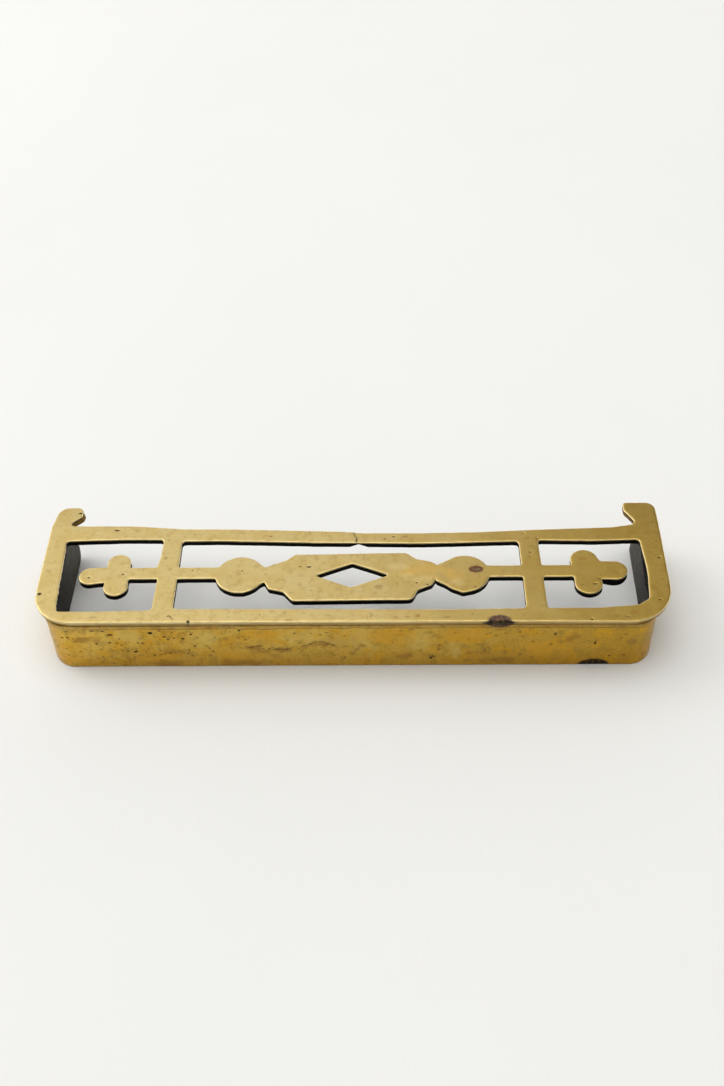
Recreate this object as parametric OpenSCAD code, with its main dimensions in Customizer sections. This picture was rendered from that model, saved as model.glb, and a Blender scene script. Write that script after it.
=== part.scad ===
// Pierced brass desk piece: a flat fretted plate brazed to a bent skirt.
// It stands on the skirt's bottom rim and is open behind and below.
// Millimetres. +X runs along the length, +Y to the open back, +Z up.
// The origin is the middle of the plan, at the level of the bottom rim.

/* [Plate] */
// Half of the plate's length
half_l = 102.5; // [101:0.5:106]
// Half of the plate's depth, from the front lip to the tips of the horns
half_d = 26.5; // [26:0.5:28]
// Thickness of the plate
plate_t = 2.2; // [1.5:0.1:3]
// Corner radius at the front left
left_corner_r = 13; // [8:0.5:15]
// Corner radius at the front right
right_corner_r = 14.5; // [8:0.5:15]
// Small radius at the corners of the windows
window_r = 1.2; // [0.4:0.1:1.5]

/* [Rails and bars] */
// Y of the front rail's inner edge
front_rail_y = -21; // [-22:0.1:-20]
// Y of the back rail's inner edge
back_rail_y = 9; // [8.5:0.1:10]
// Distance from the middle to each side rail's inner edge
side_rail_x = 95.2; // [94:0.1:96]
// Distance from the middle to each cross-bar's inner edge
bar_in_x = 56.2; // [55:0.1:58]
// Distance from the middle to each cross-bar's outer edge
bar_out_x = 62.7; // [61:0.1:65]
// Y of the middle of the centre bar
bar_y = -4.8; // [-5.2:0.1:-4.4]
// Depth of the centre bar
bar_d = 5.2; // [4:0.1:6]

/* [Ornament] */
// Radius of the round knops
knop_r = 8; // [7:0.1:8.4]
// Distance from the middle to each knop
knop_x = 36.6; // [36:0.1:38.5]
// Half of the depth of the neck between a knop and the cartouche
neck_half_d = 3.2; // [2.5:0.1:4]
// Half of the width of the cartouche between its front corners
cartouche_half_l = 19.2; // [18:0.1:20]
// Half of the diamond hole's width
diamond_half_l = 12; // [9:0.1:13]
// Half of the diamond hole's depth
diamond_half_d = 5.2; // [4:0.1:6]

/* [Skirt] */
// Height of the skirt, from the bottom rim to the plate's underside
skirt_h = 20.3; // [15:0.1:30]
// Thickness of the skirt's wall
wall_t = 1.5; // [1:0.1:2]
// Outer radius of the skirt's two bends
bend_r = 7.8; // [6:0.1:12]
// Overhang of the plate's lip at the front
lip_front = 0.45; // [0.3:0.05:1.5]
// Overhang of the plate at the left
lip_left = 3.4; // [2.5:0.1:4]
// Overhang of the plate at the right
lip_right = 4.7; // [3.5:0.1:5]
// Y of the left wall's back end
left_end_y = 25; // [15:0.5:25]
// Y of the right wall's back end
right_end_y = 26; // [15:0.5:26]

/* [Brazing] */
// Height of the outer fillet down the skirt
outer_braze_h = 2.4; // [1:0.1:3]
// Leg of the inner fillet, the same along the skirt and the plate
inner_braze_leg = 1.6; // [1:0.1:1.8]

/* [Hidden] */
$fn = 64;
arc_steps = 8;
through = 10;             // reach of a cut past both faces of the plate
bar_front = bar_y - bar_d / 2;
bar_back = bar_y + bar_d / 2;
knop_y = bar_y - 0.9;     // the knops and the cartouche hang a little in front of the bar's middle
outer_braze_w = lip_front - 0.1; // the fillet stops short of the lip's edge
notch_x = 1.9;            // the nick filed across the underside of the back rail
notch_half_w = 3.1;
notch_d = 1.3;

// Outer edges of the skirt in plan
skirt_left = -half_l + lip_left;
skirt_right = half_l - lip_right;
skirt_front = -half_d + lip_front + 0.2;

function unit(v) = v / norm(v);

// The points that round one corner of a path, given as [x, y, radius]
function corner(before, at, after) =
    let (p = [at.x, at.y],
         u = unit([before.x, before.y] - p),
         v = unit([after.x, after.y] - p),
         half = acos(u * v) / 2,
         centre = p + unit(u + v) * at[2] / sin(half),
         from = p + u * at[2] / tan(half) - centre,
         to = p + v * at[2] / tan(half) - centre,
         a = atan2(from.y, from.x),
         turn = (atan2(to.y, to.x) - a + 540) % 360 - 180)
    [for (i = [0:arc_steps])
        let (t = a + turn * i / arc_steps)
        centre + at[2] * [cos(t), sin(t)]];

// A closed outline from corners given as [x, y, radius]
function rounded(path) =
    let (n = len(path))
    [for (i = [0:n - 1])
        each corner(path[(i + n - 1) % n], path[i], path[(i + 1) % n])];

// Outer edge of the plate, from the front left corner round to the back rail and the left horn
module plate_outline() {
    polygon(rounded([
        [-half_l, -half_d + 0.3, left_corner_r],
        [half_l - 0.2, -half_d, right_corner_r],
        [half_l - 0.8, 19, 30],
        // right horn
        [half_l - 1.1, half_d, 3.2],
        [half_l - 11.7, half_d, 1],
        [half_l - 11.7, 22.7, 1.5],
        [half_l - 8.6, 17.6, 0.5],
        [half_l - 9.5, 16.1, 0.5],
        // back rail, bowed by hand
        [86, 14.9, 20],
        [60, 14, 60],
        [42, 13.1, 50],
        [22, 12.8, 50],
        [4, 13.1, 15],
        [-6, 13.9, 30],
        [-40, 15.3, 60],
        [-58, 15.6, 40],
        [-74, 17.1, 20],
        // left horn
        [-half_l + 7.3, 17.4, 0.5],
        [-half_l + 6.2, 18.6, 0.5],
        [-half_l + 9.7, 21.8, 1.5],
        [-half_l + 9.8, half_d - 0.3, 2],
        [-half_l + 1.6, half_d - 0.2, 4.2],
        [-half_l, 17, 14],
    ]));
}

// Window outside the left cross-bar
module left_window() {
    polygon(rounded([
        [-side_rail_x + 0.5, front_rail_y - 0.2, window_r],
        [-side_rail_x - 1, back_rail_y + 1.1, 0.8],
        [-76, back_rail_y + 1.7, 50],
        [-bar_out_x - 0.7, back_rail_y + 1.5, window_r],
        [-bar_out_x - 0.9, bar_back + 5, 6],
        [-bar_out_x - 1.9, bar_y + 1, 0.5],
        [-bar_out_x - 0.8, bar_y - 1, 0.5],
        [-bar_out_x - 1.2, front_rail_y + 0.2, window_r],
        [-80, front_rail_y - 0.3, 80],
    ]));
}

// Window between the cross-bars
module middle_window() {
    polygon(rounded([
        [-bar_in_x - 0.8, front_rail_y + 0.6, window_r],
        [-bar_in_x - 0.9, back_rail_y + 0.7, window_r],
        [-45, back_rail_y + 0.75, 60],
        [-12, back_rail_y - 0.4, 60],
        [22, back_rail_y - 1.15, 60],
        [bar_in_x - 1.5, back_rail_y - 0.4, window_r],
        [bar_in_x - 1, bar_y, 3],
        [bar_in_x - 0.6, front_rail_y + 0.2, window_r],
        [32, front_rail_y - 0.2, 80],
        [-38, front_rail_y + 0.5, 60],
    ]));
}

// Window outside the right cross-bar
module right_window() {
    polygon(rounded([
        [bar_out_x - 0.2, front_rail_y + 0.3, window_r / 2],
        [78, front_rail_y + 0.4, 60],
        [side_rail_x - 4, front_rail_y + 1.7, 3],
        [side_rail_x - 0.4, front_rail_y + 4.3, 2],
        [side_rail_x + 0.4, bar_y, 60],
        [side_rail_x - 0.8, back_rail_y, window_r],
        [80, back_rail_y - 0.5, 60],
        [bar_out_x - 1.5, back_rail_y, 0.8],
        [bar_out_x - 1, bar_y + 2, 4],
    ]));
}

// Each child's outline made into the plate's thickness, at the plate's height
module flat() {
    for (i = [0:$children - 1])
        translate([0, 0, skirt_h])
            linear_extrude(plate_t)
                children(i);
}

// A stretch of the centre bar from one x to another
module bar(from_x, to_x) {
    translate([from_x, bar_front])
        square([to_x - from_x, bar_d]);
}

module disc(x, y, r) {
    translate([x, y])
        circle(r = r);
}

// A round knop, tapering to its neck beside the cartouche. side is -1 on the left, 1 on the right
module knop(side, neck_x, point, point_in) {
    flat() {
        disc(side * knop_x, knop_y, knop_r);
        polygon([
            [side * (knop_x - 2.6), knop_y + knop_r - 0.4],
            [side * neck_x, knop_y + neck_half_d + point],
            [side * neck_x, knop_y - neck_half_d],
            [side * (knop_x - point_in), knop_y - knop_r - point],
            [side * (knop_x + 2), knop_y - knop_r + 0.25],
        ]);
    }
}

// The cartouche with its stepped ends, from neck to neck
module cartouche() {
    front = -17.1;
    back = 3.5;
    polygon(rounded([
        // left step at the back
        [-cartouche_half_l + 0.2, back - 0.2, 1.5],
        [-21.7, 0.7, 2],
        [-26.2, -1.2, 1],
        [-28.5, knop_y + neck_half_d, 0.4],
        // left step at the front
        [-28.4, knop_y - neck_half_d - 0.2, 0.4],
        [-26.8, -12.2, 0.8],
        [-22, -13.5, 2],
        [-cartouche_half_l + 0.3, front - 0.3, 0.9],
        // right step at the front
        [cartouche_half_l + 0.4, front, 2.2],
        [21.2, -13, 2],
        [26, -10.6, 0.8],
        [27.4, knop_y - neck_half_d + 1.2, 0.4],
        // right step at the back
        [27.6, knop_y + neck_half_d + 0.8, 0.4],
        [26, -0.4, 0.8],
        [20.8, 1, 1.5],
        [cartouche_half_l - 1.6, back + 0.25, 1.8],
    ]));
}

module diamond() {
    polygon(rounded([
        [-diamond_half_l, knop_y - 0.6, 0.3],
        [0, knop_y - 0.6 + diamond_half_d, 0.3],
        [diamond_half_l, knop_y - 0.6, 0.3],
        [-0.3, knop_y - 0.6 - diamond_half_d, 0.6],
    ]));
}

// Three round lobes about a core, on a stem that reaches in from the cross-bar
module left_trefoil() {
    flat() {
        disc(-77, -0.2, 3.95);
        disc(-85.8, -5.9, 3.75);
        disc(-76.8, -10.6, 4.05);
        polygon([[-80.8, -1.9], [-73.1, -1.5], [-72.9, -10], [-80.7, -8.9], [-85.7, -9.6], [-85.7, -2.2]]);
        bar(-76, -bar_out_x);
    }
}

module right_trefoil() {
    flat() {
        disc(75.5, 0, 4.5);
        disc(85.2, -4.7, 4);
        disc(76.2, -10.3, 4.5);
        polygon([
            [71.1, -1],
            [75.5, 4],
            [79.3, 2.5],
            [80.7, -0.6],
            [85.2, -0.7],
            [85.2, -8.7],
            [80.4, -8.5],
            [71.8, -10],
        ]);
        bar(bar_out_x - 2, 76);
    }
}

module frame() {
    flat()
        difference() {
            plate_outline();
            left_window();
            middle_window();
            right_window();
        }
}

// Knops, cartouche and the centre bar that joins them to the cross-bars
module ornament() {
    flat() {
        bar(-bar_in_x - 2, -knop_x);
        bar(knop_x, bar_in_x + 1);
        cartouche();
    }
    knop(-1, 28.3, 0, 1.7);
    knop(1, 27.2, 0.5, 1);
}

// The nick filed across the underside of the back rail
module rail_notch() {
    translate([notch_x, back_rail_y - through, skirt_h])
        rotate([-90, 0, 0])
            linear_extrude(3 * through)
                polygon([[-notch_half_w, 0.01], [0, -notch_d], [notch_half_w, 0.01]]);
}

module top_plate() {
    color([0.79, 0.69, 0.43])
        difference() {
            union() {
                frame();
                ornament();
                left_trefoil();
                right_trefoil();
            }
            translate([0, 0, skirt_h - through])
                linear_extrude(2 * through)
                    diamond();
            rail_notch();
        }
}

// Plan of the skirt's band, with its outer face moved in by inset
module skirt_plan(inset) {
    r = bend_r - inset;
    left = skirt_left + inset;
    right = skirt_right - inset;
    front = skirt_front + inset;
    translate([left + r, front + r])
        circle(r = r);
    translate([right - r, front + r])
        circle(r = r);
    translate([left + r, front])
        square([right - left - 2 * r, r]);
    translate([left, front + r])
        square([right - left, 2 * half_d]);
}

module skirt() {
    color([0.69, 0.55, 0.24])
        difference() {
            linear_extrude(skirt_h)
                difference() {
                    skirt_plan(0);
                    skirt_plan(wall_t);
                }
            translate([skirt_left - 1, left_end_y, -1])
                cube([half_l, 2 * half_d, skirt_h + 2]);
            translate([0, right_end_y, -1])
                cube([half_l, 2 * half_d, skirt_h + 2]);
        }
}

// Section of a hollow-faced fillet in a corner at the origin: w along the plate, h down the wall
function fillet_section(w, h) =
    concat([[0, 0]], [for (i = [0:arc_steps])
        let (t = 90 * i / arc_steps)
        [w * (1 - sin(t)), -h * (1 - cos(t))]]);

// The fillet's section carried along the U of the skirt. face is 1 outside the wall and -1 inside,
// offset is the distance from the skirt's outer face to the corner that the fillet fills
module fillet_along_skirt(w, h, face, offset) {
    r = bend_r - offset;
    left = skirt_left + offset;
    right = skirt_right - offset;
    front = skirt_front + offset;
    section = [for (p = fillet_section(w, h)) [face * p.x, p.y]];
    translate([0, 0, skirt_h]) {
        // front
        translate([left + r, front, 0])
            rotate([90, 0, 90])
                linear_extrude(right - left - 2 * r)
                    polygon([for (p = section) [-p.x, p.y]]);
        // left and right walls
        translate([left, left_end_y, 0])
            rotate([90, 0, 0])
                linear_extrude(left_end_y - front - r)
                    polygon([for (p = section) [-p.x, p.y]]);
        translate([right, right_end_y, 0])
            rotate([90, 0, 0])
                linear_extrude(right_end_y - front - r)
                    polygon(section);
        // the two bends
        translate([left + r, front + r, 0])
            rotate([0, 0, 180])
                rotate_extrude(angle = 90)
                    polygon([for (p = section) [r + p.x, p.y]]);
        translate([right - r, front + r, 0])
            rotate([0, 0, 270])
                rotate_extrude(angle = 90)
                    polygon([for (p = section) [r + p.x, p.y]]);
    }
}

module outer_braze() {
    color([0.66, 0.47, 0.27])
        fillet_along_skirt(outer_braze_w, outer_braze_h, 1, 0);
}

module inner_braze() {
    color([0.2, 0.18, 0.13])
        fillet_along_skirt(inner_braze_leg, inner_braze_leg, -1, wall_t);
}

top_plate();
skirt();
outer_braze();
inner_braze();
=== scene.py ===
"""The looks of the pierced brass desk piece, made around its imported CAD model.

Everything stands in the CAD frame. Sizes here are in millimetres until a mesh is made, in metres.
"""

import math

import bpy
import numpy as np
from mathutils import Matrix, Vector, noise
from mathutils.geometry import delaunay_2d_cdt
from mathutils.kdtree import KDTree


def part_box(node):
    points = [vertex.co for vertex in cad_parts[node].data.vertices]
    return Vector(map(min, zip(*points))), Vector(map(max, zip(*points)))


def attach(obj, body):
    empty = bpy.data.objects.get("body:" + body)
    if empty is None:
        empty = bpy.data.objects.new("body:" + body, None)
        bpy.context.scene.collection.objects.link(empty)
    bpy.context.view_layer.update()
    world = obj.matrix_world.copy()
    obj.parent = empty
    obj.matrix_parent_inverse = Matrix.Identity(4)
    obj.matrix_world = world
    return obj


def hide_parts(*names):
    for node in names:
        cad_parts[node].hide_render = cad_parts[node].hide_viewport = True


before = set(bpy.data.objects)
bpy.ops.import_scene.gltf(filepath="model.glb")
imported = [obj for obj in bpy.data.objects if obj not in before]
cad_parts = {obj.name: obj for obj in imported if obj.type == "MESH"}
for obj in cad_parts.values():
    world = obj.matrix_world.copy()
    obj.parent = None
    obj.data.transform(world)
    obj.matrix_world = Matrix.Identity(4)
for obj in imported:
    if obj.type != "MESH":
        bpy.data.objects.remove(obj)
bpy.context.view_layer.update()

MM = 0.001
rng = np.random.default_rng(11)


def box_mm(node):
    """The two corners of a CAD node's box."""
    low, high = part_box(node)
    return np.array(low) / MM, np.array(high) / MM


plate_lo, plate_hi = box_mm("top_plate")
skirt_lo, skirt_hi = box_mm("skirt")

# Edges and spacing of the meshes
EDGE_STEP = 0.42            # spacing of the points along the plate's outlines
PLATE_EDGE_R = 0.4          # worn roundness of the plate's upper edges
PLATE_FOOT_R = 0.12         # roundness of its lower edges
SKIRT_EDGE_R = 0.45         # roundness of the skirt's edges

# The skirt
WALL_T = 1.5                # its wall
BEND_R = 7.8                # outer radius of its bends
LEFT_SHORT = 1.0            # the left wall stops this much before the right one
TAIL_CORNER_R = 4.0         # round lower corner at the left wall's back end
RIGHT_IN = 0.35             # the right wall stands this much inside the drawn one
LEAN_LEFT = 0.4             # how far the left wall's foot leans in
LEAN_RIGHT = 0.75           # and the right wall's

# What casting, filing and wear did to the plate
TOP_SKIM = 0.06             # the top lies this much below the drawn one
SAG = 0.5                   # how far the right front corner sits low
SAG_X = (45, 100)           # between which x and which y it comes down
SAG_Y = (8, -24)
RAIL_BEVEL = 0.06           # how far the front rail's top slopes down to the lip
RAIL_BEVEL_Y = -20.9        # where that slope starts
RAIL_BEVEL_RUN = 5.0        # how long it is
LIP_UNDERCUT = 0.3          # how far the lip's lower half is filed back, at the front and sides
HOLLOWS = ((-94.5, 20), (92.2, 20))   # the hollows between the horns and the back rail
HORN_FLARE = 0.7            # how far the foot of the left horn's hollow side stands out
LUMP = 1.3                  # the rough lump left under the right trefoil's end lobe
LUMP_AT = (84.5, -7.8)
LUMP_SIZE = (3.4, 1.8)
NICK = 1.3                  # depth of the nick in the foot of the back rail
NICK_X = 1.9
NICK_HALF_W = 3.1
DENT = 0.45                 # depth of the dent in the left rail's outer edge
DENT_AT = (-101.8, -13.6)
DENT_SIZE = (1.2, 0.7)
CRACK_X = 0.7               # the crack across the back rail
CRACK_STEP = 0.2            # how far the rail's back edge steps in beside it
CRACK_STEP_RUN = 9          # over what length
BURN_X = 46.9               # the middle of the burnt patch on the front lip


def smoothstep(low, high, x):
    t = np.clip((np.asarray(x, float) - low) / (high - low), 0, 1)
    return t * t * (3 - 2 * t)


def field(points, size, seed, octaves=2):
    """Smooth noise from about -1 to 1 at each point, with features about size mm across."""
    shift = Vector((seed * 17.3, seed * -7.9, seed * 3.1))
    out = np.empty(len(points))
    flat = np.zeros((len(points), 3))
    flat[:, : points.shape[1]] = points / size
    for i, p in enumerate(flat):
        out[i] = noise.fractal(Vector(p) + shift, 0.9, 2.0, octaves)
    return out


def sag(points):
    """The right front corner of the plate, and of all that holds it, stands a little low."""
    drop = SAG * smoothstep(*SAG_X, points[:, 0]) * smoothstep(*SAG_Y, points[:, 1])
    lifted = points.copy()
    lifted[:, 2] -= drop * np.clip(points[:, 2] / skirt_hi[2], 0, 1)
    return lifted


# ---- outlines ----------------------------------------------------------------


def top_outlines(obj, z_top):
    """The closed outlines of the CAD node's flat top, in mm, with the solid on their left."""
    mesh = obj.data
    mesh.calc_loop_triangles()
    co = np.empty(len(mesh.vertices) * 3)
    mesh.vertices.foreach_get("co", co)
    co = np.round(co.reshape(-1, 3) / MM, 3)
    welded, ids = np.unique(co, axis=0, return_inverse=True)
    tris = np.empty(len(mesh.loop_triangles) * 3, int)
    mesh.loop_triangles.foreach_get("vertices", tris)
    tris = ids.reshape(-1)[tris].reshape(-1, 3)
    tris = tris[(welded[tris][:, :, 2] > z_top - 0.01).all(1)]
    directed = {(a, b) for t in tris.tolist() for a, b in zip(t, t[1:] + t[:1]) if a != b}
    follow = {a: b for a, b in directed if (b, a) not in directed}
    loops = []
    while follow:
        start, at = next(iter(sorted(follow.items())))
        path = [start]
        del follow[start]
        while at != start:
            path.append(at)
            at = follow.pop(at)
        loops.append(welded[path][:, :2])
    return sorted(loops, key=lambda loop: -len(loop))


def resample(points, step):
    """A closed outline as evenly spaced points."""
    closed = np.vstack([points, points[:1]])
    along = np.r_[0, np.cumsum(np.linalg.norm(np.diff(closed, axis=0), axis=1))]
    at = np.linspace(0, along[-1], max(8, round(along[-1] / step)), endpoint=False)
    return np.c_[np.interp(at, along, closed[:, 0]), np.interp(at, along, closed[:, 1])]


def soften(points, passes):
    """Rounds an outline's corners off, as a file does."""
    for _ in range(passes):
        points = 0.25 * np.roll(points, 1, 0) + 0.5 * points + 0.25 * np.roll(points, -1, 0)
    return points


def inward(points):
    """Unit normals into the solid, which lies on the outline's left."""
    tangent = np.roll(points, -1, 0) - np.roll(points, 1, 0)
    tangent /= np.linalg.norm(tangent, axis=1)[:, None]
    return np.c_[-tangent[:, 1], tangent[:, 0]]


class Outline:
    """An outline with holes, and the distance of any point from it."""

    def __init__(self, loops):
        self.loops = loops
        self.points = np.vstack(loops)
        self.normal = np.vstack([inward(loop) for loop in loops])
        self.loop_of = np.concatenate([np.full(len(l), i) for i, l in enumerate(loops)])
        ahead, start = [], 0
        for loop in loops:
            ahead.append(start + (np.arange(len(loop)) + 1) % len(loop))
            start += len(loop)
        self.ahead = np.concatenate(ahead)
        self.behind = np.empty(len(self.ahead), int)
        self.behind[self.ahead] = np.arange(len(self.ahead))
        self.tree = KDTree(len(self.points))
        for i, (x, y) in enumerate(self.points):
            self.tree.insert((x, y, 0), i)
        self.tree.balance()

    def distance(self, points):
        """(distance from the outline, index of the nearest outline point), negative outside."""
        near = np.array([self.tree.find((x, y, 0))[1] for x, y in points])
        best = np.full(len(points), np.inf)
        for other in (self.ahead[near], self.behind[near]):
            a, b = self.points[near], self.points[other]
            t = np.clip(((points - a) * (b - a)).sum(1) / ((b - a) ** 2).sum(1), 0, 1)
            best = np.minimum(best, np.linalg.norm(points - a - t[:, None] * (b - a), axis=1))
        side = ((points - self.points[near]) * self.normal[near]).sum(1)
        return np.where(side >= 0, best, -best), near

    def inside_row(self, xs, y):
        """Which xs at height y are inside."""
        a, b = self.points, self.points[self.ahead]
        hit = (a[:, 1] > y) != (b[:, 1] > y)
        cross = a[hit, 0] + (y - a[hit, 1]) / (b[hit, 1] - a[hit, 1]) * (b[hit, 0] - a[hit, 0])
        return (np.searchsorted(np.sort(cross), xs) % 2) == 1


def fill(outline, rings, spacing, extra):
    """Triangles that fill an outline: (points, triangles). The outline's own points come first.

    rings are the depths of the rows of points that follow the edge, spacing is that of the grid inside
    them, and extra are points to add."""
    pts = [outline.points]
    for depth in rings:
        ring = outline.points + outline.normal * depth
        far, _ = outline.distance(ring)
        pts.append(ring[far > depth - 0.03])
    if len(extra):
        far, _ = outline.distance(extra)
        extra = extra[far > 0.12]
        pts.append(extra)
    busy = np.vstack(pts[1:])
    tree = KDTree(len(busy))
    for i, (x, y) in enumerate(busy):
        tree.insert((x, y, 0), i)
    tree.balance()
    low, high = outline.points.min(0), outline.points.max(0)
    grid = []
    for row, y in enumerate(np.arange(low[1] + 0.3, high[1], spacing * 0.866)):
        xs = np.arange(low[0] + (row % 2) * spacing / 2, high[0], spacing)
        xs = xs[outline.inside_row(xs, y)]
        grid.append(np.c_[xs, np.full(len(xs), y)])
    grid = np.vstack(grid)
    grid += rng.uniform(-0.16, 0.16, grid.shape) * spacing
    far, _ = outline.distance(grid)
    grid = grid[far > rings[-1] + 0.35 * spacing]
    clear = np.array([tree.find((x, y, 0))[2] for x, y in grid]) > 0.55 * spacing
    pts.append(grid[clear])
    pts = np.vstack(pts)
    n = len(outline.points)
    edges = [(i, int(outline.ahead[i])) for i in range(n)]
    made = delaunay_2d_cdt([Vector(p) for p in pts], edges, [], 0, 1e-6)
    back = [orig[0] if orig else -1 for orig in made[3]]
    tris = np.array([[back[i] for i in face] for face in made[2]])
    tris = tris[(tris >= 0).all(1)]
    centre = pts[tris].mean(1)
    edge_only = (tris < n).all(1)
    keep = ~edge_only
    rows = np.flatnonzero(edge_only)
    keep[rows] = [outline.inside_row(centre[r, :1], centre[r, 1])[0] for r in rows]
    tris = tris[keep]
    a, b, c = pts[tris[:, 0]], pts[tris[:, 1]], pts[tris[:, 2]]
    turned = np.cross(b - a, c - a) < 0
    tris[turned] = tris[turned][:, ::-1]
    return pts, tris


def round_drop(far, radius):
    """How far a surface falls away at this distance from its edge, for an edge of that radius."""
    t = np.clip(1 - far / radius, 0, 1)
    return radius * (1 - np.sqrt(1 - t * t))


# ---- marks: pits, stains, scratches and painted highlights -------------------

# kind: (colour, depth of the hollow, strength of the colour)
KINDS = {
    "pit": ((0.020, 0.014, 0.008), 0.30, 1.0),
    "speck": ((0.130, 0.062, 0.018), 0.08, 0.80),
    "stain": ((0.210, 0.125, 0.040), 0.0, 0.45),
    "rust": ((0.300, 0.120, 0.022), 0.01, 0.55),
    "burn": ((0.085, 0.045, 0.042), 0.03, 0.92),
    "liver": ((0.110, 0.038, 0.022), 0.02, 0.92),
    "glow": ((0.170, 0.085, 0.050), 0.0, 0.60),
    "pale": ((0.190, 0.150, 0.095), 0.0, 0.60),
    "amber": ((0.650, 0.350, 0.026), 0.0, 0.65),
    "honey": ((0.560, 0.360, 0.085), 0.0, 0.60),
    "cream": ((0.720, 0.590, 0.300), 0.0, 0.26),
    "brown": ((0.300, 0.150, 0.024), 0.0, 0.60),
    "olive_highlight": ((0.680, 0.510, 0.135), 0.0, 0.50),
    "soot": ((0.016, 0.009, 0.004), 0.02, 1.0),
    "crack": ((0.030, 0.020, 0.010), 0.10, 0.85),
}
SOFT_KINDS = ("amber", "honey", "cream", "brown", "olive_highlight")   # broad stains with ragged, fading edges, except the pale patches up the skirt's middle, which are painted highlights

# kind, x, y, half width, half depth
PLATE_MARKS = [
    ("burn", BURN_X, -26.0, 3.9, 2.3), ("soot", BURN_X, -26.8, 5.6, 0.85), ("glow", 46.4, -25.5, 1.3, 0.8),
    ("liver", 40.3, -4.0, 2.6, 1.6), ("pale", 40.7, -4.1, 1.3, 0.6),
    ("pit", -86.1, -6.6, 0.45, 0.4), ("pit", -93.6, 23.4, 0.6, 0.4), ("pit", -79.6, 15.1, 1.0, 0.35),
    ("speck", -27.5, 11.7, 0.6, 0.35), ("speck", -17.0, -2.3, 0.6, 0.4), ("pit", -14.2, -2.4, 0.75, 0.4),
    ("pit", 21.1, -9.8, 0.3, 0.25), ("stain", 8.7, -11.5, 1.6, 0.9), ("speck", -36.0, -4.1, 0.45, 0.3),
    ("rust", -28.2, -5.6, 0.5, 0.3), ("rust", -61.8, 1.9, 0.7, 0.9), ("stain", -61.7, 10.3, 0.6, 0.5),
    ("speck", -52.3, -3.7, 0.35, 0.3), ("stain", -82.0, -23.9, 1.5, 0.45), ("speck", -58.0, -23.6, 0.8, 0.35),
    ("speck", -56.6, -24.6, 0.35, 0.3), ("pit", -51.4, -25.8, 0.6, 0.5), ("pit", -57.2, -23.9, 0.3, 0.3),
    ("rust", 14.2, -24.6, 1.0, 0.4), ("rust", 18.0, -24.4, 0.7, 0.35), ("rust", 21.1, -24.0, 0.9, 0.6),
    ("stain", -19.6, -25.4, 1.5, 0.35), ("stain", 30.5, -24.6, 1.2, 0.5), ("stain", 6.5, -23.5, 0.4, 1.2),
    ("speck", 10.7, 10.0, 0.35, 0.3), ("pit", 13.5, 11.1, 0.5, 0.35), ("stain", 17.0, 11.0, 1.1, 0.5),
    ("rust", 57.7, 9.9, 0.9, 0.5), ("pit", 58.4, 3.6, 0.45, 0.35), ("rust", 75.3, 0.4, 1.4, 0.55),
    ("pit", 78.4, -10.6, 0.9, 0.3), ("speck", 74.2, -10.8, 0.35, 0.3), ("pit", 100.1, 0.6, 0.4, 0.4),
    ("pit", 98.1, -17.4, 0.45, 0.4),
    ("speck", 99.9, 17.1, 0.5, 0.4), ("rust", 99.8, 8.2, 0.6, 0.5), ("rust", 89.2, -22.6, 1.2, 0.7),
    ("rust", 83.6, -24.2, 1.6, 0.4), ("speck", 87.1, -24.4, 0.9, 0.3), ("pit", 75.9, -25.5, 0.35, 0.3),
    ("pit", -101.2, -13.6, 0.8, 0.7), ("honey", 24.0, -4.0, 7.5, 4.2), ("honey", 17.5, -5.2, 4.0, 2.6),
    ("honey", 33.0, -6.4, 3.4, 3.4), ("cream", 15.6, -2.8, 3.6, 1.9), ("cream", 17.5, -7.0, 2.8, 1.6),
    ("cream", 22.8, -8.0, 3.4, 1.6), ("cream", 34.0, -9.6, 3.6, 1.9), ("cream", 29.0, -1.4, 2.2, 1.2),
    ("honey", 29.0, -4.6, 2.6, 2.4), ("pit", 12.0, 9.2, 0.25, 0.2),
]

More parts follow.
